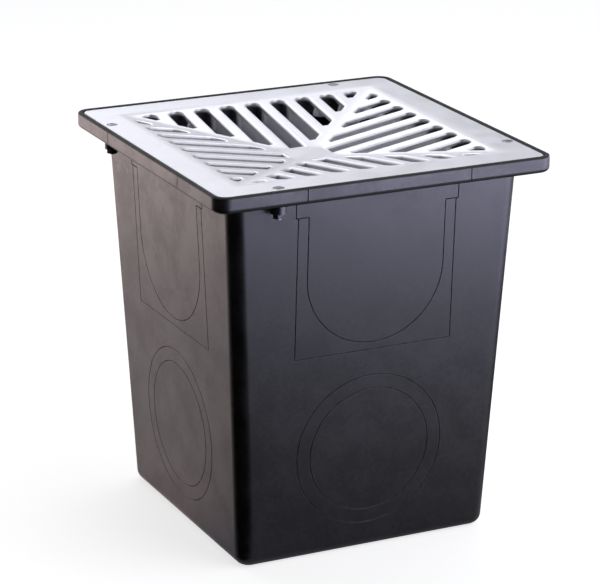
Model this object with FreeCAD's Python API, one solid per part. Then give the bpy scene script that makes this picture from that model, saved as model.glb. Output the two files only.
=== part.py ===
import FreeCAD, Part
import math
import os

# Rainwater pit: a tapered moulded box with a square rim, and a dished cast grate held by four screws.
# Millimetres, +Z up, origin in the middle of the base, front face towards -Y.

# Moulded pit body
pit_height = 275.0            # base to the top of the rim
rim_width = 250.0
rim_height = 11.5             # side face of the rim
rim_wall = 3.2                # lip round the grate and skirt below it
rim_lower_chamfer = 1.0
rim_upper_chamfer = 0.5
rim_overhang = 17.0           # rim face beyond the body, at the lower edge of the rim
side_taper = 13.0             # each side, from the rim to the base
corner_radius = 10.5          # vertical corners of rim and body
wall = 3.0
floor_thickness = 5.0         # keeps the wall sound round the base edge
base_edge_radius = 8.0
ledge_thickness = 3.0         # shelf that carries the grate
boss_diameter = 10.6
boss_length = 6.0             # below the lower edge of the rim

# Scored outlines for pipes and channels, on all four faces
mark_width = 0.8              # V groove, across its mouth
mark_depth = 0.5
small_pipe_radius = 45.0
large_pipe_radius = 55.0
pipe_height = 75.0            # centre above the base
channel_half_width = 51.0
channel_arc_height = 205.0    # centre of the round channel bottom
frame_half_width = 58.8
frame_bottom_height = 148.8
notch_half_width = 60.5
notch_height = 249.2          # lower edge of the notch under the rim

# Cast grate
grate_gap = 0.4               # round the grate, inside the lip
grate_recess = 0.5            # top of the grate below the top of the rim
border_thickness = 5.0
border_width = 20.9           # flat border round the dish
border_chamfer = 1.2
dish_depth = 14.2
dish_edge_radius = 30.0       # soft edge between border and slope
hub_width = 32.0              # flat middle of the dish
skin_thickness = 3.2
rib_depth = 12.0
skirt_inner_gap = 0.7         # between slot ends and the skirt's inner face
skirt_width = 4.0
skirt_depth = 13.2
slots_per_side = 9
slot_share = 0.525            # open part of the pitch
slot_border = 6.0             # from the dish edge to the slot ends
slot_corner_border = 14.5     # from the middle of the last slot to the slot ends of the next side
slot_hub_border = 1.2         # from the hub to the middle slot
slot_tip_width = 3.2          # blunt inner tip of a slot
valley_bar_width = 11.3
deep_bars_per_side = 4        # bars nearest the middle are as deep as the ribs

# Screws and nuts, one near each corner
screw_diameter = 4.0
screw_hole_clearance = 0.6
screw_inset = 10.0            # from the rim's face to the screw
screw_corner_distance = 48.0  # from the next face of the rim to the screw
screw_head_diameter = 7.0
screw_head_height = 2.0
screw_tip = 0.8               # below the nut
screw_slot_width = 1.0
screw_slot_length = 4.4
screw_slot_depth = 0.9
counterbore_clearance = 0.8
counterbore_depth = 2.3
nut_width = 7.0               # across flats
nut_height = 3.2
nut_bore_clearance = 0.1

cut_margin = 1.0              # how far cutters reach past a surface

# Levels and sizes that follow from the sizes above
body_top_width = rim_width - 2.0 * rim_overhang
body_base_width = body_top_width - 2.0 * side_taper
rim_bottom = pit_height - rim_height
grate_top = pit_height - grate_recess
ledge_top = grate_top - border_thickness
ledge_bottom = ledge_top - ledge_thickness
boss_bottom = rim_bottom - boss_length
grate_width = rim_width - 2.0 * (rim_wall + grate_gap)
grate_corner_radius = corner_radius - rim_wall - grate_gap
body_draft = math.atan(side_taper / rim_bottom)
dish_width = grate_width - 2.0 * border_width
dish_slope = dish_depth / ((dish_width - hub_width) / 2.0)
dish_tilt = math.atan(dish_slope)
slot_end = dish_width / 2.0 - slot_border
slot_pitch = 2.0 * (slot_end - slot_corner_border) / (slots_per_side - 1)
slot_width = slot_share * slot_pitch
valley_offset = valley_bar_width / 2.0 * math.sqrt(2.0)
screw_offset = rim_width / 2.0 - screw_inset
screw_shift = rim_width / 2.0 - screw_corner_distance
screw_radius = screw_diameter / 2.0
nut_bottom = boss_bottom - nut_height
head_seat = grate_top - counterbore_depth

UP = FreeCAD.Vector(0, 0, 1)


def rounded_square(width, radius, z):
    """Closed wire of a square with rounded corners, centred on the Z axis."""
    half = width / 2.0
    core = half - radius
    middle = core + radius * math.sqrt(0.5)
    edges = []
    for quarter in range(4):
        turn = FreeCAD.Rotation(UP, 90.0 * quarter)
        side_start = turn.multVec(FreeCAD.Vector(half, -core, z))
        side_end = turn.multVec(FreeCAD.Vector(half, core, z))
        arc_middle = turn.multVec(FreeCAD.Vector(middle, middle, z))
        arc_end = turn.multVec(FreeCAD.Vector(core, half, z))
        edges.append(Part.LineSegment(side_start, side_end).toShape())
        edges.append(Part.Arc(side_end, arc_middle, arc_end).toShape())
    return Part.Wire(edges)


def rounded_prism(width, radius, z0, z1):
    """Upright square prism with rounded corners."""
    return Part.Face(rounded_square(width, radius, z0)).extrude(UP * (z1 - z0))


def square_prism(width, z0, z1):
    """Upright square prism, centred on the Z axis."""
    return Part.makeBox(width, width, z1 - z0, FreeCAD.Vector(-width / 2.0, -width / 2.0, z0))


def frustum(lower_width, upper_width, z0, z1):
    """Upright square frustum, centred on the Z axis."""
    low = lower_width / 2.0
    high = upper_width / 2.0
    wedge = Part.makeWedge(-low, z0, -low, -high, -high, low, z1, low, high, high)
    wedge.rotate(FreeCAD.Vector(), FreeCAD.Vector(1, 0, 0), 90.0)
    return wedge


def four_turns(shape):
    """Copies of a shape turned to the four sides."""
    return [shape.rotated(FreeCAD.Vector(), UP, 90.0 * quarter) for quarter in range(4)]


def level_edges(shape, z):
    """Edges that lie at one height."""
    return [edge for edge in shape.Edges
            if abs(edge.BoundBox.ZMin - z) < 1e-4 and abs(edge.BoundBox.ZMax - z) < 1e-4]


def body_width(z):
    """Outer width of the tapered body at a height."""
    return body_base_width + 2.0 * z * math.tan(body_draft)


def tapered_box(inset, radius, z0, z1):
    """Tapered body, or its hollow, with rounded corners."""
    box = frustum(body_width(z0) - 2.0 * inset, body_width(z1) - 2.0 * inset, z0, z1)
    return box.makeFillet(radius, [edge for edge in box.Edges if edge.BoundBox.ZLength > 1.0])


def screw_positions():
    """Plan position of the four screws, one per side."""
    first = FreeCAD.Vector(-screw_offset, screw_shift, 0)
    return [FreeCAD.Rotation(UP, 90.0 * quarter).multVec(first) for quarter in range(4)]


def cylinder(radius, z0, z1, at):
    """Upright cylinder at a plan position."""
    return Part.makeCylinder(radius, z1 - z0, FreeCAD.Vector(at.x, at.y, z0))


def groove_profile(at, across, out):
    """Triangle that cuts a V groove: its point is sunk in the surface and its sides open outwards."""
    above = mark_depth
    spread = mark_width / 2.0 * (mark_depth + above) / mark_depth
    corners = [at - out * mark_depth, at + across * spread + out * above, at - across * spread + out * above]
    return Part.Face(Part.makePolygon(corners + corners[:1]))


def straight_groove(start, end, out):
    """V groove from one point to another in a surface that faces outwards."""
    along = end - start
    across = FreeCAD.Vector(along).normalize().cross(out)
    return groove_profile(start, across, out).extrude(along)


def round_groove(centre, radius, angle):
    """V groove round a point of the XY plane, from the -X side through -Y, over an angle."""
    start = centre - FreeCAD.Vector(radius, 0, 0)
    profile = groove_profile(start, FreeCAD.Vector(1, 0, 0), UP)
    return profile.revolve(centre, UP, angle)


def body_marks():
    """Scored outlines of one face, in its own plane: X across, Y up the face, Z outwards."""
    def on_face(x, z):
        return FreeCAD.Vector(x, z / math.cos(body_draft), 0)
    pipe_centre = on_face(0, pipe_height)
    marks = [
        round_groove(pipe_centre, small_pipe_radius, 360.0),
        round_groove(pipe_centre, large_pipe_radius, 360.0),
        round_groove(on_face(0, channel_arc_height), channel_half_width, 180.0),
    ]
    lines = [
        ((-frame_half_width, frame_bottom_height), (frame_half_width, frame_bottom_height)),
    ]
    for side in (-1.0, 1.0):
        channel = side * channel_half_width
        frame = side * frame_half_width
        notch = side * notch_half_width
        lines += [
            ((channel, channel_arc_height), (channel, notch_height)),
            ((frame, frame_bottom_height), (frame, notch_height)),
            ((channel, notch_height), (notch, notch_height)),
            ((notch, notch_height), (notch, rim_bottom)),
        ]
    marks += [straight_groove(on_face(*start), on_face(*end), UP) for start, end in lines]
    face = FreeCAD.Placement(FreeCAD.Vector(0, -body_base_width / 2.0, 0),
                             FreeCAD.Rotation(FreeCAD.Vector(1, 0, 0), 90.0 + math.degrees(body_draft)))
    for mark in marks:
        mark.Placement = face.multiply(mark.Placement)
    return marks


def rim_marks():
    """Scored lines across one side of the rim, above the notch."""
    front = -rim_width / 2.0
    return [straight_groove(FreeCAD.Vector(side * notch_half_width, front, rim_bottom),
                            FreeCAD.Vector(side * notch_half_width, front, pit_height),
                            FreeCAD.Vector(0, -1, 0)) for side in (-1.0, 1.0)]


def pit_body():
    """One moulding: tapered box, rim with skirt and lip, ledge for the grate, and screw bosses."""
    rim = rounded_prism(rim_width, corner_radius, rim_bottom, pit_height)
    rim = rim.makeChamfer(rim_lower_chamfer, level_edges(rim, rim_bottom))
    rim = rim.makeChamfer(rim_upper_chamfer, level_edges(rim, pit_height))
    seat = rounded_prism(rim_width - 2.0 * rim_wall, corner_radius - rim_wall,
                         ledge_top, pit_height + cut_margin)
    channel = rounded_prism(rim_width - 2.0 * rim_wall, corner_radius - rim_wall,
                            rim_bottom - cut_margin, ledge_bottom)
    outer = tapered_box(0.0, corner_radius, 0.0, ledge_top)
    outer = outer.makeFillet(base_edge_radius, level_edges(outer, 0.0))
    hollow = tapered_box(wall, corner_radius - wall, floor_thickness, ledge_top + cut_margin)
    bosses = [cylinder(boss_diameter / 2.0, boss_bottom, ledge_top, at) for at in screw_positions()]
    holes = [cylinder(screw_radius + screw_hole_clearance / 2.0, boss_bottom - cut_margin,
                      ledge_top + cut_margin, at) for at in screw_positions()]
    body = rim.cut([seat, channel]).fuse([outer] + bosses).removeSplitter()
    body = body.cut([hollow] + holes)
    grooves = []
    for mark in body_marks() + rim_marks():
        grooves += four_turns(mark)
    return body.cut(grooves)


def dish_channel(offset):
    """Space above a channel along Y: border level, two slopes and the flat hub, moved down by an offset."""
    half_dish = dish_width / 2.0
    reach = half_dish + dish_edge_radius * dish_slope
    floor = -offset - dish_depth
    outline = [(-reach, cut_margin), (-reach, -offset), (-half_dish, -offset), (-hub_width / 2.0, floor),
               (hub_width / 2.0, floor), (half_dish, -offset), (reach, -offset), (reach, cut_margin),
               (-reach, cut_margin)]
    profile = Part.Face(Part.makePolygon([FreeCAD.Vector(x, -reach, z) for x, z in outline]))
    channel = profile.extrude(FreeCAD.Vector(0, 2.0 * reach, 0))
    soft_edges = [edge for edge in level_edges(channel, -offset)
                  if abs(abs(edge.CenterOfMass.x) - half_dish) < 1e-4]
    return channel.makeFillet(dish_edge_radius, soft_edges)


def dish(offset):
    """Space above the dished top: where a channel along X and one along Y overlap."""
    channel = dish_channel(offset)
    return channel.common(channel.rotated(FreeCAD.Vector(), UP, 90.0))


def slot_outline(number):
    """One slot of the +Y side in the plane of its slope: round outer end, blunt tip next to the valley bar."""
    def up_slope(y):
        return y / math.cos(dish_tilt)
    radius = slot_width / 2.0
    centre = number * slot_pitch
    near_side = centre - radius
    far_side = centre + radius
    straight = up_slope(slot_end) - radius
    strip = Part.Face(Part.makePolygon([
        FreeCAD.Vector(near_side, 0, 0), FreeCAD.Vector(far_side, 0, 0),
        FreeCAD.Vector(far_side, straight, 0), FreeCAD.Vector(near_side, straight, 0),
        FreeCAD.Vector(near_side, 0, 0)]))
    end = Part.Face(Part.Wire(Part.makeCircle(radius, FreeCAD.Vector(centre, straight, 0))))
    tip = max(hub_width / 2.0 + slot_hub_border, near_side + valley_offset + slot_tip_width)
    wedge = Part.Face(Part.makePolygon([
        FreeCAD.Vector(near_side - cut_margin, up_slope(tip), 0),
        FreeCAD.Vector(tip - valley_offset, up_slope(tip), 0),
        FreeCAD.Vector(dish_width - valley_offset, up_slope(dish_width), 0),
        FreeCAD.Vector(near_side - cut_margin, up_slope(dish_width), 0),
        FreeCAD.Vector(near_side - cut_margin, up_slope(tip), 0)]))
    return strip.fuse(end).removeSplitter().common(wedge).Faces[0]


def slot_cutters():
    """Cutters for the slots of one side, square to its slope and just deeper than the skin."""
    slope = FreeCAD.Placement(UP * (-dish_slope * dish_width / 2.0),
                              FreeCAD.Rotation(FreeCAD.Vector(1, 0, 0), math.degrees(dish_tilt)))
    cutters = []
    for number in range(slots_per_side // 2 + 1):
        outline = slot_outline(number)
        outline.translate(UP * -(skin_thickness + cut_margin))
        cutter = outline.extrude(UP * (skin_thickness + 2.0 * cut_margin))
        cutter.Placement = slope
        cutters.append(cutter)
        if number > 0:
            cutters.append(cutter.mirror(FreeCAD.Vector(), FreeCAD.Vector(1, 0, 0)))
    return cutters


def grate_ribs():
    """Boxes over everything as deep as the ribs: hub, valley bars and the deep bars."""
    reach = dish_depth + rib_depth
    length = slot_end + skirt_inner_gap
    hub = Part.makeBox(hub_width, hub_width, reach,
                       FreeCAD.Vector(-hub_width / 2.0, -hub_width / 2.0, -reach))
    valley = Part.makeBox(valley_bar_width, length * math.sqrt(2.0), reach,
                          FreeCAD.Vector(-valley_bar_width / 2.0, 0, -reach))
    valley.rotate(FreeCAD.Vector(), UP, 45.0)
    bar_width = slot_pitch - slot_width
    ribs = [hub] + four_turns(valley)
    for number in range(deep_bars_per_side):
        centre = (number - (deep_bars_per_side - 1) / 2.0) * slot_pitch
        start = max(abs(centre), hub_width / 2.0)
        bar = Part.makeBox(bar_width, length - start, reach,
                           FreeCAD.Vector(centre - bar_width / 2.0, start, -reach))
        ribs += four_turns(bar)
    return ribs


def grate():
    """One casting: flat border, dished middle with slots, ribs below and a skirt inside the pit."""
    border = rounded_prism(grate_width, grate_corner_radius, -border_thickness, 0.0)
    border = border.makeChamfer(border_chamfer, level_edges(border, 0.0))
    skirt_inner = 2.0 * (slot_end + skirt_inner_gap)
    skirt = rounded_prism(skirt_inner + 2.0 * skirt_width, skirt_width, -skirt_depth, -border_thickness / 2.0)
    frame = border.fuse(skirt).cut(square_prism(skirt_inner, -skirt_depth - cut_margin, cut_margin))
    cutters = []
    for cutter in slot_cutters():
        cutters += four_turns(cutter)
    skin = dish(skin_thickness).cut(cutters)
    ribs = grate_ribs()
    ribs = dish(rib_depth).common(ribs[0].fuse(ribs[1:]))
    casting = frame.fuse([skin, ribs]).cut(dish(0.0)).removeSplitter()
    screw_cuts = []
    for at in screw_positions():
        screw_cuts.append(cylinder((screw_head_diameter + counterbore_clearance) / 2.0,
                                   -counterbore_depth, cut_margin, at))
        screw_cuts.append(cylinder(screw_radius + screw_hole_clearance / 2.0,
                                   -border_thickness - cut_margin, cut_margin, at))
    casting = casting.cut(screw_cuts).removeSplitter()
    casting.translate(UP * grate_top)
    return casting


def screw(at):
    """Slotted pan-head screw, from the counterbore to just below its nut."""
    head_top = head_seat + screw_head_height
    tip = nut_bottom - screw_tip
    shank = cylinder(screw_radius, tip, head_seat, FreeCAD.Vector())
    head = cylinder(screw_head_diameter / 2.0, head_seat, head_top, FreeCAD.Vector())
    slot = Part.makeBox(screw_slot_length, screw_slot_width, screw_slot_depth + cut_margin,
                        FreeCAD.Vector(-screw_slot_length / 2.0, -screw_slot_width / 2.0,
                                       head_top - screw_slot_depth))
    body = shank.fuse(head).cut(slot)
    body.translate(at)
    return body


def nut(at):
    """Hexagon nut under a boss."""
    corner = nut_width / math.sqrt(3.0)
    corners = [FreeCAD.Vector(corner * math.cos(math.radians(60.0 * i)),
                              corner * math.sin(math.radians(60.0 * i)), nut_bottom) for i in range(7)]
    prism = Part.Face(Part.makePolygon(corners)).extrude(UP * nut_height)
    bore = Part.makeCylinder(screw_radius + nut_bore_clearance / 2.0, nut_height + 2.0 * cut_margin,
                             FreeCAD.Vector(0, 0, nut_bottom - cut_margin))
    body = prism.cut(bore)
    body.translate(at)
    return body


def main():
    """Build every piece and write it to its own file."""
    pieces = {"pit_body": pit_body(), "grate": grate()}
    for number, at in enumerate(screw_positions(), 1):
        pieces["grate_screw_%d" % number] = screw(at)
        pieces["screw_nut_%d" % number] = nut(at)
    os.makedirs("parts", exist_ok=True)
    for name, shape in pieces.items():
        print(name, "valid", shape.isValid(), "solids", len(shape.Solids),
              "volume %.0f" % shape.Volume, "faces", len(shape.Faces))
        shape.exportStep("parts/%s.step" % name)


main()
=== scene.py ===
"""Rainwater pit with a dished cast grate: finishes, softened edges, small fittings, studio and camera.

The construction model carries every main form and is loaded as a fixed frame. Metres, Z up, origin in the
middle of the base, front face towards -Y.
"""
import logging
import math
from dataclasses import dataclass, field
from enum import Enum
from typing import Any, Callable, Mapping, Sequence, Union

import bmesh
import bpy
from mathutils import Matrix, Vector


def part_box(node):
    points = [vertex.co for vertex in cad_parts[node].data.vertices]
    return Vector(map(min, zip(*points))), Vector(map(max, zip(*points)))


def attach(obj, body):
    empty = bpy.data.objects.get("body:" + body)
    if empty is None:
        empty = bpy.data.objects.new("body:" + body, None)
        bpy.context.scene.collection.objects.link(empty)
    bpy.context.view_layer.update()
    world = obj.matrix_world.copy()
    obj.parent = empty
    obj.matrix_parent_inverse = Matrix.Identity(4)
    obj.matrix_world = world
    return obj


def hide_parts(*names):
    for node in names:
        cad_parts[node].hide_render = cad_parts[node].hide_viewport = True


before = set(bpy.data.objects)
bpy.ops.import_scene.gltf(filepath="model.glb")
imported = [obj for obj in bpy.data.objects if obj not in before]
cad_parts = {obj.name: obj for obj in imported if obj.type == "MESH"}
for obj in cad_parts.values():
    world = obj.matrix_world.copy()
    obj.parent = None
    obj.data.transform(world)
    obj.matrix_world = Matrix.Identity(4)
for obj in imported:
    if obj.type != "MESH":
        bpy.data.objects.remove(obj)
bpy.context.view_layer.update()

Colour = tuple[float, float, float]
Direction = tuple[float, float, float]
Band = tuple[float, float]

LOG = logging.getLogger("rainwater_pit")
ROOT = "root"
MM = 0.001
MERGE_DISTANCE = 0.002 * MM
FLAT_ANGLE = math.radians(0.6)
SHARP_ANGLE = math.radians(32.0)
WHITE: Colour = (1.0, 1.0, 1.0)
BLACK: Colour = (0.0, 0.0, 0.0)


class Slot(Enum):
    """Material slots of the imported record."""

    PIT = "pit_plastic"
    GRATE = "grate_metal"


class Facing(Enum):
    """Which way an edge of the rim looks, with its sign along Z."""

    DOWN = -1.0
    UP = 1.0


# Shader helpers


class Wire:
    """A number in a shader, with Python arithmetic."""

    def __init__(self, graph: "Graph", socket: bpy.types.NodeSocket) -> None:
        """Keep the graph and the socket that gives the number."""
        self.graph = graph
        self.socket = socket

    def __add__(self, other: "Number") -> "Wire":
        """Sum."""
        return self.graph.math("ADD", self, other)

    __radd__ = __add__

    def __mul__(self, other: "Number") -> "Wire":
        """Product."""
        return self.graph.math("MULTIPLY", self, other)

    __rmul__ = __mul__

    def __sub__(self, other: "Number") -> "Wire":
        """Difference."""
        return self.graph.math("SUBTRACT", self, other)

    def __rsub__(self, other: "Number") -> "Wire":
        """Difference, the other way round."""
        return self.graph.math("SUBTRACT", other, self)

    def clamped(self) -> "Wire":
        """The number, kept between 0 and 1."""
        return self.graph.math("ADD", self, 0.0, clamp=True)

    def band(self, low: float, high: float) -> "Wire":
        """A smooth step.

        Args:
            low: Where it starts, at 0.
            high: Where it ends, at 1.

        Returns:
            The step of this number.
        """
        settings = {"interpolation_type": "SMOOTHSTEP", "clamp": True}
        node = self.graph.add("ShaderNodeMapRange", settings,
                              {"Value": self, "From Min": low, "From Max": high})
        return Wire(self.graph, node.outputs["Result"])


Number = Union[Wire, float]


@dataclass(frozen=True)
class Noise:
    """One layer of cloudy noise: its rough size, its finer layers and its stretch per axis."""

    grain: float
    detail: float = 2.0
    roughness: float = 0.5
    stretch: tuple[float, float, float] = (1.0, 1.0, 1.0)


@dataclass
class Graph:
    """The node tree of one material or world."""

    tree: bpy.types.NodeTree
    mix_factor: int = 0
    mix_low: int = 6
    mix_high: int = 7
    mix_result: int = 2
    edge_samples: int = 4
    edge_lean: Band = (0.002, 0.12)

    def add(self, kind: str, settings: Mapping[str, Any] | None = None,
            inputs: Mapping[Any, Any] | None = None) -> bpy.types.Node:
        """Add any node.

        Args:
            kind: The node's type.
            settings: Its properties, set first.
            inputs: Values or links for its sockets, by name or number.

        Returns:
            The new node.
        """
        node = self.tree.nodes.new(kind)
        for name, value in (settings or {}).items():
            setattr(node, name, value)
        for key, value in (inputs or {}).items():
            self.feed(node.inputs[key], value)
        return node

    def feed(self, socket: bpy.types.NodeSocket, value: Any) -> None:
        """Link or set a socket.

        Args:
            socket: The socket that takes the value.
            value: A wire or a socket to link, or a value to set.
        """
        if isinstance(value, Wire):
            self.tree.links.new(value.socket, socket)
        elif isinstance(value, bpy.types.NodeSocket):
            self.tree.links.new(value, socket)
        else:
            socket.default_value = value

    def math(self, operation: str, *values: Number, clamp: bool = False) -> Wire:
        """Add a Math node.

        Args:
            operation: The node's operation.
            values: What its sockets take, in order.
            clamp: Keep the result between 0 and 1.

        Returns:
            The node's result.
        """
        settings = {"operation": operation, "use_clamp": clamp}
        node = self.add("ShaderNodeMath", settings, dict(enumerate(values)))
        return Wire(self, node.outputs[0])

    def vector_math(self, operation: str, *values: Any) -> bpy.types.Node:
        """Add a Vector Math node."""
        return self.add("ShaderNodeVectorMath", {"operation": operation}, dict(enumerate(values)))

    def axes(self, vector: bpy.types.NodeSocket) -> list[Wire]:
        """A vector's three numbers."""
        return [Wire(self, output) for output in self.add("ShaderNodeSeparateXYZ", {}, {0: vector}).outputs]

    def place(self, stretch: Sequence[float] = (1.0, 1.0, 1.0)) -> bpy.types.NodeSocket:
        """Object coordinates.

        Args:
            stretch: Their scale, per axis.

        Returns:
            The scaled coordinates.
        """
        source = self.add("ShaderNodeTexCoord")
        mapping = self.add("ShaderNodeMapping", {"vector_type": "POINT"},
                           {"Vector": source.outputs["Object"], "Scale": tuple(stretch)})
        return mapping.outputs["Vector"]

    def noise(self, layer: Noise) -> Wire:
        """Cloudy noise.

        Args:
            layer: Its sizes.

        Returns:
            The noise, from 0 to 1 with a middle of about a half.
        """
        inputs = {"Vector": self.place(layer.stretch), "Scale": 1.0 / layer.grain, "Detail": layer.detail,
                  "Roughness": layer.roughness}
        node = self.add("ShaderNodeTexNoise", {"noise_dimensions": "3D"}, inputs)
        return Wire(self, node.outputs["Fac"])

    def cells(self, grain: float) -> Wire:
        """Distance to the nearest of scattered points, for a pebbled surface."""
        inputs = {"Vector": self.place(), "Scale": 1.0 / grain}
        return Wire(self, self.add("ShaderNodeTexVoronoi", {"feature": "F1"}, inputs).outputs["Distance"])

    def blend(self, factor: Number, low: Any, high: Any) -> bpy.types.NodeSocket:
        """Mix two colours.

        Args:
            factor: The share of the second colour.
            low: The first colour, or a link to one.
            high: The second colour, or a link to one.

        Returns:
            The mixed colour.
        """
        inputs = {self.mix_factor: factor, self.mix_low: self._colour(low),
                  self.mix_high: self._colour(high)}
        node = self.add("ShaderNodeMix", {"data_type": "RGBA", "clamp_factor": True}, inputs)
        return node.outputs[self.mix_result]

    @staticmethod
    def _colour(value: Any) -> Any:
        """A colour with its fourth number, or the link as it is."""
        return (*value, 1.0) if isinstance(value, tuple) else value

    def edge_mask(self, radius: float) -> Wire:
        """Find edges, from how far a rounded normal leans from the real one.

        Args:
            radius: How far from an edge the mask reaches.

        Returns:
            1 near an edge and 0 elsewhere.
        """
        soft = self.add("ShaderNodeBevel", {"samples": self.edge_samples}, {"Radius": radius})
        sharp = self.add("ShaderNodeNewGeometry")
        dot = self.vector_math("DOT_PRODUCT", soft.outputs["Normal"], sharp.outputs["Normal"])
        return (1.0 - Wire(self, dot.outputs["Value"])).band(*self.edge_lean)

    def bump(self, height: Number, distance: float, strength: float) -> bpy.types.NodeSocket:
        """Surface relief from a height."""
        inputs = {"Strength": strength, "Distance": distance, "Height": height}
        return self.add("ShaderNodeBump", {}, inputs).outputs["Normal"]

    def rays(self) -> tuple[Wire, Wire]:
        """Tell rays apart.

        Returns:
            1 for a ray straight from the camera, and 1 for a ray from a gloss or through glass.
        """
        path = self.add("ShaderNodeLightPath")
        straight = Wire(self, path.outputs["Is Camera Ray"])
        mirrored = Wire(self, path.outputs["Is Glossy Ray"])
        through = Wire(self, path.outputs["Is Transmission Ray"])
        return straight, (mirrored + through).clamped()

    def towards(self, direction: bpy.types.NodeSocket, side: Direction) -> Wire:
        """Compare a direction with a side of the studio, seen from above.

        Args:
            direction: The direction, or a place on the floor.
            side: The side's level unit vector.

        Returns:
            1 along the side, -1 away from it.
        """
        level = self.vector_math("MULTIPLY", direction, (1.0, 1.0, 0.0))
        unit = self.vector_math("NORMALIZE", level.outputs["Vector"])
        return Wire(self, self.vector_math("DOT_PRODUCT", unit.outputs["Vector"], side).outputs["Value"])


def new_material(name: str) -> tuple[bpy.types.Material, Graph, bpy.types.Node]:
    """Start a node material.

    Args:
        name: The material's name.

    Returns:
        The material, its graph and its surface shader.
    """
    material = bpy.data.materials.new(name)
    material.use_nodes = True
    shader = next(node for node in material.node_tree.nodes if node.type == "BSDF_PRINCIPLED")
    return material, Graph(material.node_tree), shader


# Finishes


@dataclass(frozen=True)
class Dish:
    """The grate's dished top: a flat border, then four slopes down to a square hub."""

    top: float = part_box("grate")[1].z
    grate_half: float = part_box("grate")[1].x
    border: float = 20.9 * MM
    depth: float = 14.2 * MM
    hub_half: float = 16.0 * MM

    @property
    def half(self) -> float:
        """Half the dish's width."""
        return self.grate_half - self.border

    @property
    def slope(self) -> float:
        """How far a slope falls for each metre inwards."""
        return self.depth / (self.half - self.hub_half)


@dataclass(frozen=True)
class MouldedPlastic:
    """Black moulded plastic with a fine grain, faint clouds, and lighter edges and scored grooves that are
    partly rubbed wear and partly painted highlight.
    """

    colour: Colour = (0.008, 0.0078, 0.0085)
    cloud_colour: Colour = (0.021, 0.020, 0.0215)
    clouds: Noise = Noise(24.0 * MM, 3.0, 0.55)
    mottle: Noise = Noise(3.2 * MM, 3.0, 0.6)
    cloud_share: float = 0.55
    tone_band: Band = (0.38, 0.64)
    # Lighter colour at edges and in the scored grooves: partly rubbed wear, partly a painted highlight that
    # lifts the grooves' shade.
    rubbed_and_glint_colour: Colour = (0.12, 0.117, 0.126)
    rubbed_edge: float = 0.8 * MM
    rub_and_glint_patches: Noise = Noise(4.0 * MM)
    rub_and_glint_band: Band = (0.35, 0.7)
    least_rub_and_glint: float = 0.45
    roughness: float = 0.36
    roughness_spread: float = 0.10
    lip_roughness: float = 0.80
    lip_levels: Band = (274.2 * MM, 274.8 * MM)
    pebbles: float = 0.7 * MM
    pebble_height: float = 0.7
    grit: Noise = Noise(0.35 * MM)
    grit_height: float = 0.6
    relief: float = 0.018 * MM
    relief_strength: float = 0.6
    refraction: float = 1.5

    def build(self) -> bpy.types.Material:
        """Make the material.

        Returns:
            The material.
        """
        material, graph, shader = new_material("moulded_black_plastic")
        clouds = graph.noise(self.clouds) * self.cloud_share
        tone = (clouds + graph.noise(self.mottle) * (1.0 - self.cloud_share)).band(*self.tone_band)
        # Edges and grooves painted lighter in patches: partly wear, partly painted highlight.
        rub_and_glint_patches = self.least_rub_and_glint + graph.noise(self.rub_and_glint_patches).band(*self.rub_and_glint_band) * (1.0 - self.least_rub_and_glint)
        rubbed_and_glint = graph.edge_mask(self.rubbed_edge) * rub_and_glint_patches
        base = graph.blend(tone, self.colour, self.cloud_colour)
        graph.feed(shader.inputs["Base Color"], graph.blend(rubbed_and_glint, base, self.rubbed_and_glint_colour))
        level = graph.axes(graph.place())[2]
        scuffed = level.band(*self.lip_levels) * (self.lip_roughness - self.roughness)
        rough = self.roughness + (tone - 0.5) * self.roughness_spread
        graph.feed(shader.inputs["Roughness"], rough + scuffed)
        height = graph.cells(self.pebbles) * self.pebble_height + graph.noise(self.grit) * self.grit_height
        graph.feed(shader.inputs["Normal"], graph.bump(height, self.relief, self.relief_strength))
        shader.inputs["IOR"].default_value = self.refraction
        return material


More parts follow.
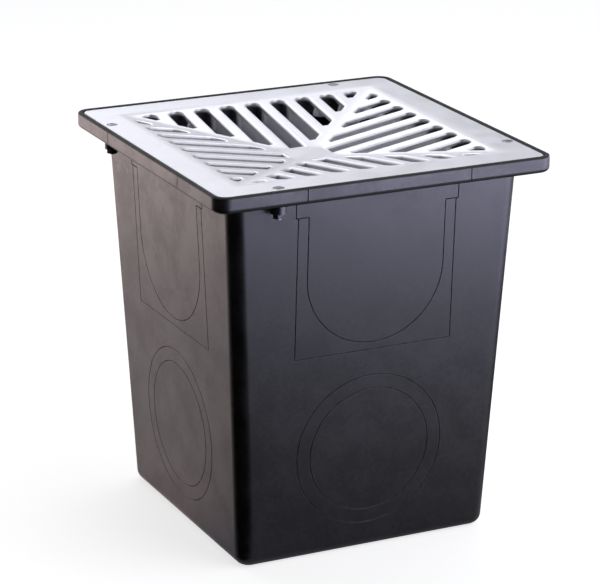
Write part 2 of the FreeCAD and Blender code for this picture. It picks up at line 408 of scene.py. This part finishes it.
@dataclass(frozen=True)
class CastMetal:
    """Satin silver casting: fine grain, faint clouds, lighter edges (partly wear, partly painted highlight),
    duller below its top, and painted shade below its top in the outer ring.
    """

    colour: Colour = (0.74, 0.74, 0.78)
    shade_colour: Colour = (0.66, 0.66, 0.71)
    clouds: Noise = Noise(18.0 * MM, 4.0, 0.55)
    cloud_band: Band = (0.3, 0.7)
    cloud_shade: float = 0.6
    specks: Noise = Noise(1.1 * MM, 2.0, 0.6)
    speck_band: Band = (0.45, 0.75)
    speck_shade: float = 0.25
    # Lighter colour at the edges: partly wear and partly a painted highlight along the slot rims.
    worn_and_highlight_colour: Colour = (0.86, 0.86, 0.89)
    worn_edge: float = 0.9 * MM
    worn_and_highlight_share: float = 0.8
    worn_polish: float = 0.06
    # Painted shade: a dark colour for the casting below its top in the outer ring, where the deep slot ends
    # lie in shade.
    painted_shade_colour: Colour = (0.10, 0.10, 0.12)
    raw_roughness: float = 0.75
    raw_and_shaded_depths: Band = (1.5 * MM, 3.5 * MM)
    painted_shade_ring: Band = (84.0 * MM, 89.0 * MM)
    dish: Dish = Dish()
    roughness: float = 0.34
    roughness_spread: float = 0.10
    grain: Noise = Noise(0.55 * MM, 3.0, 0.6)
    dimples: Noise = Noise(2.6 * MM)
    dimple_height: float = 0.8
    relief: float = 0.015 * MM
    relief_strength: float = 0.7
    metallic: float = 0.78

    def build(self) -> bpy.types.Material:
        """Make the material.

        Returns:
            The material.
        """
        material, graph, shader = new_material("satin_cast_metal")
        clouds = graph.noise(self.clouds).band(*self.cloud_band)
        specks = graph.noise(self.specks).band(*self.speck_band)
        edges = graph.edge_mask(self.worn_edge)
        x, y, z = graph.axes(graph.place())
        outside = graph.math("MAXIMUM", graph.math("ABSOLUTE", x), graph.math("ABSOLUTE", y))
        inwards = graph.math("MAXIMUM", self.dish.half - outside, 0.0)
        fall = graph.math("MINIMUM", inwards * self.dish.slope, self.dish.depth)
        # Below its top the casting is duller everywhere; in the outer ring its colour is also painted dark
        # there, as painted shade in the slots' deep ends.
        raw_and_shaded = (self.dish.top - fall - z).band(*self.raw_and_shaded_depths)
        shade = clouds * self.cloud_shade + specks * self.speck_shade
        base = graph.blend(shade, self.colour, self.shade_colour)
        # Edges lighter in colour: partly wear, partly painted highlight.
        base = graph.blend(edges * self.worn_and_highlight_share, base, self.worn_and_highlight_colour)
        base = graph.blend(raw_and_shaded * outside.band(*self.painted_shade_ring), base, self.painted_shade_colour)
        graph.feed(shader.inputs["Base Color"], base)
        rough = self.roughness + (clouds - 0.5) * self.roughness_spread - edges * self.worn_polish
        graph.feed(shader.inputs["Roughness"], rough + raw_and_shaded * (self.raw_roughness - self.roughness))
        height = graph.noise(self.grain) + graph.noise(self.dimples) * self.dimple_height
        graph.feed(shader.inputs["Normal"], graph.bump(height, self.relief, self.relief_strength))
        shader.inputs["Metallic"].default_value = self.metallic
        return material


@dataclass(frozen=True)
class FastenerSteel:
    """Steel with turning marks round the axis, stains and brighter rubs."""

    name: str
    colour: Colour
    bright_colour: Colour
    stains: Noise = Noise(2.5 * MM, 3.0)
    stain_band: Band = (0.4, 0.7)
    stain_share: float = 0.35
    rubbed_edge: float = 0.3 * MM
    rubbed_share: float = 0.6
    roughness: float = 0.34
    stain_roughness: float = 0.15
    turning: Noise = Noise(0.5 * MM, stretch=(0.2, 0.2, 1.0))
    relief: float = 0.02 * MM
    relief_strength: float = 0.5

    def build(self) -> bpy.types.Material:
        """Make the material.

        Returns:
            The material.
        """
        material, graph, shader = new_material(self.name)
        stains = graph.noise(self.stains).band(*self.stain_band)
        bright = stains * self.stain_share + graph.edge_mask(self.rubbed_edge) * self.rubbed_share
        graph.feed(shader.inputs["Base Color"], graph.blend(bright, self.colour, self.bright_colour))
        graph.feed(shader.inputs["Roughness"], self.roughness + stains * self.stain_roughness)
        turning = graph.noise(self.turning)
        graph.feed(shader.inputs["Normal"], graph.bump(turning, self.relief, self.relief_strength))
        shader.inputs["Metallic"].default_value = 1.0
        return material


# Mesh helpers


def dress_node(name: str, material: bpy.types.Material) -> None:
    """Give a construction node its finish, leaving its mesh alone.

    Args:
        name: The node's name.
        material: Its finish.
    """
    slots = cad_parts[name].data.materials
    slots.clear()
    slots.append(material)
    LOG.info("%s: %s", name, material.name)


def finish_piece(shape: bmesh.types.BMesh, name: str, material: bpy.types.Material) -> bpy.types.Object:
    """Turn a bmesh into a piece that rides on the pit.

    Args:
        shape: The finished mesh, in the shared frame, used up.
        name: The piece's name.
        material: Its finish.

    Returns:
        The new object.
    """
    shape.normal_update()
    for face in shape.faces:
        face.smooth = True
    for edge in shape.edges:
        edge.smooth = edge.calc_face_angle(math.pi) < SHARP_ANGLE
    mesh = bpy.data.meshes.new(name)
    shape.to_mesh(mesh)
    shape.free()
    if mesh.has_custom_normals:
        mesh.attributes.remove(mesh.attributes["custom_normal"])
    mesh.materials.clear()
    mesh.materials.append(material)
    piece = bpy.data.objects.new(name, mesh)
    bpy.context.scene.collection.objects.link(piece)
    weights = piece.modifiers.new("even_normals", "WEIGHTED_NORMAL")
    weights.keep_sharp = True
    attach(piece, ROOT)
    LOG.info("%s: %d faces, %s", name, len(mesh.polygons), material.name)
    return piece


def carve(body: bmesh.types.BMesh, cutters: bmesh.types.BMesh) -> bmesh.types.BMesh:
    """Take closed cutters away from a closed mesh.

    Args:
        body: The mesh to cut, used up.
        cutters: The cutters, used up.

    Returns:
        The mesh that is left.
    """
    holders = []
    for shape, name in ((body, "carved"), (cutters, "cutters")):
        mesh = bpy.data.meshes.new(name)
        shape.to_mesh(mesh)
        shape.free()
        holder = bpy.data.objects.new(name, mesh)
        bpy.context.scene.collection.objects.link(holder)
        holders.append(holder)
    cut = holders[0].modifiers.new("cut", "BOOLEAN")
    cut.operation = "DIFFERENCE"
    cut.solver = "EXACT"
    cut.object = holders[1]
    scene_graph = bpy.context.evaluated_depsgraph_get()
    result = bpy.data.meshes.new_from_object(holders[0].evaluated_get(scene_graph))
    left = bmesh.new()
    left.from_mesh(result)
    for mesh in (result, holders[0].data, holders[1].data):
        bpy.data.meshes.remove(mesh)
    return left


def merged_copy(node: str) -> bmesh.types.BMesh:
    """Copy a construction node's mesh and join its loose triangles.

    Args:
        node: The node's name.

    Returns:
        The copy.
    """
    shape = bmesh.new()
    shape.from_mesh(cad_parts[node].data)
    bmesh.ops.remove_doubles(shape, verts=shape.verts, dist=MERGE_DISTANCE)
    return shape


def join_flats(shape: bmesh.types.BMesh) -> None:
    """Join the triangles of every flat face."""
    bmesh.ops.dissolve_limit(shape, angle_limit=FLAT_ANGLE, verts=shape.verts, edges=shape.edges)
    shape.normal_update()


def outlines(node: str, wanted: Callable[[bmesh.types.BMEdge], bool]) -> bmesh.types.BMesh:
    """Flat faces, facing up, inside closed outlines of a construction node.

    Args:
        node: The node's name.
        wanted: Whether an edge belongs to one of the outlines.

    Returns:
        The faces, one for each outline.
    """
    shape = merged_copy(node)
    join_flats(shape)
    bmesh.ops.delete(shape, geom=[edge for edge in shape.edges if not wanted(edge)], context="EDGES")
    bmesh.ops.edgeloop_fill(shape, edges=shape.edges)
    shape.normal_update()
    bmesh.ops.reverse_faces(shape, faces=[face for face in shape.faces if face.normal.z < 0.0])
    shape.normal_update()
    return shape


def sweep(shape: bmesh.types.BMesh, moves: Sequence[tuple[float, float]]) -> list[bmesh.types.BMFace]:
    """Carry a mesh's flat faces through moves, leaving a wall behind each but the first.

    Args:
        shape: The mesh, with nothing but the flat faces.
        moves: For each step, how far the outline grows and how far it rises.

    Returns:
        The flat faces, in their last place.
    """
    flats = list(shape.faces)
    for number, (growth, rise) in enumerate(moves):
        walls = bmesh.ops.inset_region(shape, faces=flats, thickness=-growth, depth=rise,
                                       use_even_offset=True, use_boundary=True)["faces"]
        if number == 0:
            bmesh.ops.delete(shape, geom=walls, context="FACES")
    return flats


def quarter_round(radius: float, steps: int, hollow: bool) -> list[tuple[float, float]]:
    """Moves along a quarter circle, outwards and up.

    Args:
        radius: The circle's radius.
        steps: Number of straight pieces.
        hollow: Whether it sets off straight up and not straight out.

    Returns:
        The growth and rise of each piece.
    """
    turns = [math.radians(90.0) * step / steps for step in range(steps + 1)]
    slow = [radius * (1.0 - math.cos(turn)) for turn in turns]
    fast = [radius * math.sin(turn) for turn in turns]
    grow, climb = (slow, fast) if hollow else (fast, slow)
    return [(grow[i + 1] - grow[i], climb[i + 1] - climb[i]) for i in range(steps)]


# Sub-assemblies


@dataclass(frozen=True)
class RimEdge:
    """One outer edge of the rim: its level and chamfer in the construction model, and its rounding here."""

    level: float
    chamfer: float
    radius: float
    facing: Facing


@dataclass
class PitBody:
    """The moulded pit: the construction model's own form, with the rim's outer edges rounded."""

    finish: MouldedPlastic = MouldedPlastic()
    node: str = "pit_body"
    top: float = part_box("pit_body")[1].z
    rim_half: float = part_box("pit_body")[1].x
    rim_height: float = 11.5 * MM
    rim_edges: tuple[RimEdge, ...] = (RimEdge(top - rim_height, 1.0 * MM, 3.6 * MM, Facing.DOWN),
                                      RimEdge(top, 0.5 * MM, 1.5 * MM, Facing.UP))
    corner_radius: float = 10.5 * MM
    corner_steps: int = 12
    soft_steps: int = 6
    slip: float = 0.04 * MM
    margin: float = 0.6 * MM

    def build(self) -> None:
        """Make the moulding."""
        shape = merged_copy(self.node)
        for edge in self.rim_edges:
            shape = carve(shape, self._rim_cutter(edge))
        join_flats(shape)
        pit = finish_piece(shape, "pit_moulding", self.finish.build())
        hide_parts(self.node)

    def _rim_cutter(self, rim: RimEdge) -> bmesh.types.BMesh:
        """Make a ring that rounds one outer edge of the rim.

        Args:
            rim: The edge.

        Returns:
            The closed ring.
        """
        side = rim.facing.value
        ring = bmesh.new()
        bmesh.ops.create_grid(ring, x_segments=1, y_segments=1, size=self.rim_half,
                              matrix=Matrix.Translation((0.0, 0.0, rim.level - side * rim.chamfer)))
        bmesh.ops.bevel(ring, geom=ring.verts, offset=self.corner_radius, offset_type="OFFSET",
                        segments=self.corner_steps, profile=0.5, affect="VERTICES", material=-1)
        moves = [(self.margin, rim.radius - rim.chamfer),
                 (0.0, -rim.radius - self.margin),
                 (-rim.radius - self.margin + self.slip, 0.0),
                 (0.0, self.margin - self.slip)]
        moves += quarter_round(rim.radius, self.soft_steps, False)
        moves += [(0.0, self.slip), (self.margin - self.slip, 0.0)]
        lid = sweep(ring, [(growth, -rise * side) for growth, rise in moves])
        bmesh.ops.delete(ring, geom=lid, context="FACES_ONLY")
        bmesh.ops.remove_doubles(ring, verts=ring.verts, dist=MERGE_DISTANCE)
        bmesh.ops.recalc_face_normals(ring, faces=ring.faces)
        return ring


@dataclass
class CastGrate:
    """The dished grate: the casting's own form with softened slot edges, and the pads under its bars."""

    finish: CastMetal = CastMetal()
    node: str = "grate"
    dish: Dish = Dish()
    soft_edge: float = 1.9 * MM
    soft_steps: int = 5
    slip: float = 0.03 * MM
    cut_margin: float = 0.4 * MM
    least_top_rise: float = 0.9
    most_wall_rise: float = 0.2
    pad_radius: float = 6.0 * MM
    pad_neck_radius: float = 4.75 * MM
    pad_neck_depth: float = 2.6 * MM
    pad_foot: float = 1.5 * MM
    pad_sides: int = 32
    pad_distance: float = 80.5 * MM
    pad_pitch: float = 20.0 * MM
    pads_per_side: int = 8
    deep_pads: int = 4
    deep_pad_depth: float = 12.0 * MM
    thin_pad_depth: float = 8.5 * MM

    def build(self) -> None:
        """Make the casting and its pads."""
        material = self.finish.build()
        grate = finish_piece(self._casting(), "grate_casting", material)
        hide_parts(self.node)
        finish_piece(self._pads(), "grate_pads", material)

    def _casting(self) -> bmesh.types.BMesh:
        """Round the upper edges of the slots in a copy of the node's mesh.

        Returns:
            The copy.
        """
        cutters = outlines(self.node, self._is_slot_rim)
        moves = [(-self.cut_margin, -self.soft_edge), (self.cut_margin - self.slip, 0.0)]
        moves += quarter_round(self.soft_edge, self.soft_steps, True) + [(0.0, self.cut_margin)]
        sweep(cutters, moves)
        rims = [edge for edge in cutters.edges if len(edge.link_faces) == 1]
        bmesh.ops.holes_fill(cutters, edges=rims, sides=0)
        bmesh.ops.recalc_face_normals(cutters, faces=cutters.faces)
        shape = carve(merged_copy(self.node), cutters)
        join_flats(shape)
        return shape

    def _is_slot_rim(self, edge: bmesh.types.BMEdge) -> bool:
        """Tell the slots' upper edges.

        Args:
            edge: An edge of the node's mesh.

        Returns:
            Whether it joins the dished top to a slot's wall.
        """
        if len(edge.link_faces) != 2:
            return False
        wall, top = sorted(face.normal.z for face in edge.link_faces)
        inside = all(max(abs(vert.co.x), abs(vert.co.y)) < self.dish.half for vert in edge.verts)
        return inside and top > self.least_top_rise and abs(wall) < self.most_wall_rise

    def _pads(self) -> bmesh.types.BMesh:
        """Make the round ejector pads, one under every bar: each grows out of the bar and ends square.

        Returns:
            The pads.
        """
        shape = bmesh.new()
        level = self.dish.top - (self.dish.half - self.pad_distance) * self.dish.slope
        for number in range(self.pads_per_side):
            place = (number - (self.pads_per_side - 1) / 2.0) * self.pad_pitch
            deep = abs(place) < self.deep_pads * self.pad_pitch / 2.0
            depth = self.deep_pad_depth if deep else self.thin_pad_depth
            profile = ((0.0, depth), (self.pad_radius, depth), (self.pad_radius, depth - self.pad_foot),
                       (self.pad_neck_radius, self.pad_neck_depth), (0.0, self.pad_neck_depth))
            for quarter in range(4):
                turn = Matrix.Rotation(math.radians(90.0 * quarter), 4, "Z")
                self._add_pad(shape, turn @ Vector((place, self.pad_distance, level)), profile)
        bmesh.ops.remove_doubles(shape, verts=shape.verts, dist=MERGE_DISTANCE)
        bmesh.ops.recalc_face_normals(shape, faces=shape.faces)
        return shape

    def _add_pad(self, shape: bmesh.types.BMesh, at: Vector, profile: Sequence[tuple[float, float]]) -> None:
        """Spin one pad.

        Args:
            shape: The mesh that takes it.
            at: Its axis, at the level of the casting's top.
            profile: Radius and depth along its outline.
        """
        points = [shape.verts.new(at + Vector((radius, 0.0, -depth))) for radius, depth in profile]
        lines = [shape.edges.new(pair) for pair in zip(points, points[1:])]
        bmesh.ops.spin(shape, geom=points + lines, cent=at, axis=(0.0, 0.0, 1.0), angle=math.tau,
                       steps=self.pad_sides, use_merge=True)


@dataclass
class Fasteners:
    """The four screws and the nuts below their bosses."""

    screw_finish: FastenerSteel = FastenerSteel("plated_steel", (0.22, 0.22, 0.24), (0.62, 0.62, 0.66))
    nut_finish: FastenerSteel = FastenerSteel("blackened_steel", (0.03, 0.03, 0.034), (0.16, 0.16, 0.17))
    count: int = 4

    def dress(self) -> None:
        """Give the fasteners their finish."""
        plated = self.screw_finish.build()
        blackened = self.nut_finish.build()
        for number in range(1, self.count + 1):
            dress_node(f"grate_screw_{number}", plated)
            dress_node(f"screw_nut_{number}", blackened)


# Studio and camera


def view_direction(azimuth: float, elevation: float) -> Vector:
    """Direction from the object to a viewer.

    Args:
        azimuth: 0 in front and 90 on the +X side, in degrees.
        elevation: Height above the horizon, in degrees.

    Returns:
        The unit vector.
    """
    a = math.radians(azimuth)
    e = math.radians(elevation)
    return Vector((math.sin(a) * math.cos(e), -math.cos(a) * math.cos(e), math.sin(e)))


@dataclass(frozen=True)
class SoftBox:
    """One area lamp."""

    name: str
    azimuth: float
    elevation: float
    distance: float
    width: float
    height: float
    watts: float
    colour: Colour

    def build(self, target: Vector) -> None:
        """Hang the lamp and turn it to the object.

        Args:
            target: The point that it lights.
        """
        lamp = bpy.data.lights.new(self.name, "AREA")
        lamp.shape = "RECTANGLE"
        lamp.size = self.width
        lamp.size_y = self.height
        lamp.energy = self.watts
        lamp.color = self.colour
        holder = bpy.data.objects.new(self.name, lamp)
        bpy.context.scene.collection.objects.link(holder)
        back = view_direction(self.azimuth, self.elevation)
        holder.location = target + back * self.distance
        holder.rotation_euler = back.to_track_quat("Z", "Y").to_euler()


@dataclass(frozen=True)
class Sides:
    """Which way the studio is lit, and which way its light is cool."""

    lit_side: Direction = (0.9, 0.436, 0.0)
    lit_band: Band = (-0.62, 0.20)
    unlit_level: float = 0.006
    cool_side: Direction = (0.436, -0.9, 0.0)
    cool_band: Band = (-0.8, 0.8)

    def lit(self, graph: Graph, direction: bpy.types.NodeSocket) -> Wire:
        """How lit the studio is in a direction: 1 on the lit side, almost 0 on the other."""
        lit = graph.towards(direction, self.lit_side).band(*self.lit_band)
        return self.unlit_level + lit * (1.0 - self.unlit_level)

    def coolness(self, graph: Graph, direction: bpy.types.NodeSocket) -> Wire:
        """0 on the warm side and 1 on the cool side."""
        return graph.towards(direction, self.cool_side).band(*self.cool_band)


@dataclass(frozen=True)
class SkyStep:
    """A change of the mirrored surround's level from one height of a direction to another."""

    change: float
    low: float
    high: float


@dataclass(frozen=True)
class Surround:
    """The world: white where it is seen, softer and tinted where it lights, uneven where it is mirrored."""

    ambient: float = 0.5
    colour: Colour = (0.95, 0.96, 1.0)
    mirrored_level: float = 0.66
    mirrored_unlit: float = 0.55
    front_band: Band = (-0.3, 0.6)
    front_dim: float = 0.75
    bright_level: float = 1.60
    bright_side: Direction = (0.139, 0.990, 0.0)
    bright_band: Band = (0.935, 0.990)
    steps: tuple[SkyStep, ...] = (SkyStep(-0.22, 0.25, 0.30), SkyStep(1.55, 0.39, 0.55),
                                  SkyStep(-1.95, 0.64, 0.82))
    overhead_level: float = 2.2
    overhead_side: Direction = (0.956, -0.292, 0.0)
    overhead_spread: Band = (0.2, 0.75)
    overhead_rise: Band = (0.76, 0.88)
    overhead_fade: Band = (0.94, 0.99)

    def build(self, sides: Sides) -> None:
        """Make the world.

        Args:
            sides: Which way the studio is lit.
        """
        world = bpy.data.worlds.new("surround")
        world.use_nodes = True
        bpy.context.scene.world = world
        graph = Graph(world.node_tree)
        background = next(node for node in world.node_tree.nodes if node.type == "BACKGROUND")
        straight, mirrored = graph.rays()
        direction = graph.add("ShaderNodeTexCoord").outputs["Generated"]
        lit = sides.lit(graph, direction)
        lit = lit + mirrored * (1.0 - lit) * self.mirrored_unlit
        image = self._mirrored_image(graph, direction, sides)
        level = lit * (self.ambient + mirrored * (image - self.ambient))
        graph.feed(background.inputs["Strength"], straight + (1.0 - straight) * level)
        graph.feed(background.inputs["Color"], graph.blend(straight, self.colour, WHITE))

    def _mirrored_image(self, graph: Graph, direction: bpy.types.NodeSocket, sides: Sides) -> Wire:
        """Set the surround's level where it is mirrored.

        Args:
            graph: The world's nodes.
            direction: Where a ray goes.
            sides: Which way the studio is lit.

        Returns:
            The level.
        """
        height = graph.axes(direction)[2]
        high = 1.0 + sum(height.band(step.low, step.high) * step.change for step in self.steps)
        bright = graph.towards(direction, self.bright_side).band(*self.bright_band)
        front = 1.0 - graph.towards(direction, sides.cool_side).band(*self.front_band) * self.front_dim
        level = (self.mirrored_level + bright * (self.bright_level - self.mirrored_level)) * high * front
        ring = height.band(*self.overhead_rise) * (1.0 - height.band(*self.overhead_fade))
        overhead = ring * graph.towards(direction, self.overhead_side).band(*self.overhead_spread)
        return level + overhead * self.overhead_level


@dataclass(frozen=True)
class SideLevels:
    """A level on the warm side of the floor and one on the cool side."""

    warm: float
    cool: float

    def at(self, coolness: Wire) -> Wire:
        """The level at a place."""
        return self.warm + coolness * (self.cool - self.warm)


@dataclass(frozen=True)
class PaleFloor:
    """The floor: it keeps the object's shadow, and is brighter further out where it is mirrored."""

    half: float = 6.0
    colour: Colour = (0.80, 0.80, 0.80)
    roughness: float = 0.9
    seen_level: float = 0.72
    near_corner: Direction = (-0.095, -0.095, 0.0)
    near_share: float = 0.86
    near_band: Band = (0.16, 0.46)
    dim_side: Direction = (0.766, 0.643, 0.0)
    dim_band: Band = (0.15, 0.78)
    dim_reach: Band = (1.0, 1.8)
    dim_share: float = 0.94
    near_levels: SideLevels = SideLevels(0.74, 0.19)
    far_levels: SideLevels = SideLevels(3.1, 9.0)
    ramp_band: Band = (0.34, 1.15)
    ramp_power: float = 1.3
    warm_light: Colour = (1.0, 0.80, 0.79)
    cool_light: Colour = (0.72, 0.72, 1.0)

    def build(self, sides: Sides) -> None:
        """Lay the floor.

        Args:
            sides: Which way the studio is lit.
        """
        shape = bmesh.new()
        bmesh.ops.create_grid(shape, x_segments=1, y_segments=1, size=self.half)
        mesh = bpy.data.meshes.new("floor")
        shape.to_mesh(mesh)
        shape.free()
        floor = bpy.data.objects.new("floor", mesh)
        bpy.context.scene.collection.objects.link(floor)
        mesh.materials.append(self._material(sides))

    def _material(self, sides: Sides) -> bpy.types.Material:
        """Make the floor's material.

        Args:
            sides: Which way the studio is lit.

        Returns:
            The material.
        """
        material, graph, shader = new_material("pale_floor")
        straight, mirrored = graph.rays()
        place = graph.add("ShaderNodeTexCoord").outputs["Object"]
        from_corner = graph.vector_math("SUBTRACT", place, self.near_corner).outputs["Vector"]
        out = Wire(graph, graph.vector_math("LENGTH", place).outputs["Value"])
        cool = sides.coolness(graph, place)
        dim = graph.towards(place, self.dim_side).band(*self.dim_band) * (1.0 - out.band(*self.dim_reach))
        near = self.near_share + out.band(*self.near_band) * (1.0 - self.near_share)
        # Painted shade: for rays other than camera rays the floor's colour is darker near the object and on
        # its unlit and dim sides, seen in reflections and bounced light.
        kept = sides.lit(graph, from_corner) * (1.0 - dim * self.dim_share) * near
        shade = straight + (1.0 - straight) * kept
        graph.feed(shader.inputs["Base Color"], graph.blend(shade, BLACK, self.colour))
        shader.inputs["Roughness"].default_value = self.roughness
        shader.inputs["Specular IOR Level"].default_value = 0.0
        inner = self.near_levels.at(cool)
        outer = self.far_levels.at(cool)
        ramp = graph.math("POWER", out.band(*self.ramp_band), self.ramp_power)
        # Painted light: for mirrored rays the floor glows, more further out and less where its painted shade
        # lies.
        glow = (inner + ramp * (outer - inner)) * kept
        tint = graph.blend(cool, self.warm_light, self.cool_light)
        graph.feed(shader.inputs["Emission Color"], graph.blend(straight, tint, WHITE))
        graph.feed(shader.inputs["Emission Strength"], straight * self.seen_level + mirrored * glow)
        return material


@dataclass
class Studio:
    """Pale floor and white surround, warm at the left and cool at the right, with three soft lamps."""

    target: Vector = field(default_factory=lambda: Vector((0.0, 0.0, 0.15)))
    sides: Sides = Sides()
    surround: Surround = Surround()
    floor: PaleFloor = PaleFloor()
    boxes: tuple[SoftBox, ...] = (
        SoftBox("left_box", -150.0, 20.0, 0.9, 0.9, 0.6, 0.6, (1.0, 0.94, 0.93)),
        SoftBox("right_box", 42.0, 30.0, 1.3, 1.4, 1.1, 5.2, (0.93, 0.94, 1.0)),
        SoftBox("top_box", 165.0, 62.0, 1.4, 1.2, 0.9, 3.0, (1.0, 1.0, 1.0)),
    )

    def build(self) -> None:
        """Set the stage."""
        self.surround.build(self.sides)
        self.floor.build(self.sides)
        for box in self.boxes:
            box.build(self.target)
        bpy.context.scene.view_settings.view_transform = "Standard"


@dataclass(frozen=True)
class PhotoCamera:
    """The photograph's view, for a frame of 600 by 584 pixels."""

    place: tuple[float, float, float] = (-0.8286, -1.6960, 0.7840)
    azimuth: float = -25.891
    elevation: float = 18.342
    roll: float = 0.3026
    focal_pixels: float = 2814.7
    frame_width: float = 600.0
    sensor: float = 36.0
    nearest: float = 0.05
    furthest: float = 50.0

    def build(self) -> None:
        """Make the camera and set it as the scene's."""
        data = bpy.data.cameras.new("photo_camera")
        data.sensor_fit = "HORIZONTAL"
        data.sensor_width = self.sensor
        data.lens = self.focal_pixels / self.frame_width * self.sensor
        data.clip_start = self.nearest
        data.clip_end = self.furthest
        camera = bpy.data.objects.new("photo_camera", data)
        bpy.context.scene.collection.objects.link(camera)
        forward = -view_direction(self.azimuth, self.elevation)
        roll = Matrix.Rotation(math.radians(self.roll), 3, "Z")
        turn = forward.to_track_quat("-Z", "Y").to_matrix() @ roll
        camera.matrix_world = Matrix.Translation(self.place) @ turn.to_4x4()
        bpy.context.scene.camera = camera


def main() -> None:
    """Build the studio, dress every piece and report."""
    logging.basicConfig(level=logging.INFO, format="%(message)s")
    PhotoCamera().build()
    Studio().build()
    LOG.info("studio and camera: set")
    PitBody().build()
    CastGrate().build()
    Fasteners().dress()
    bpy.context.view_layer.update()


if __name__ == "__main__":
    main()
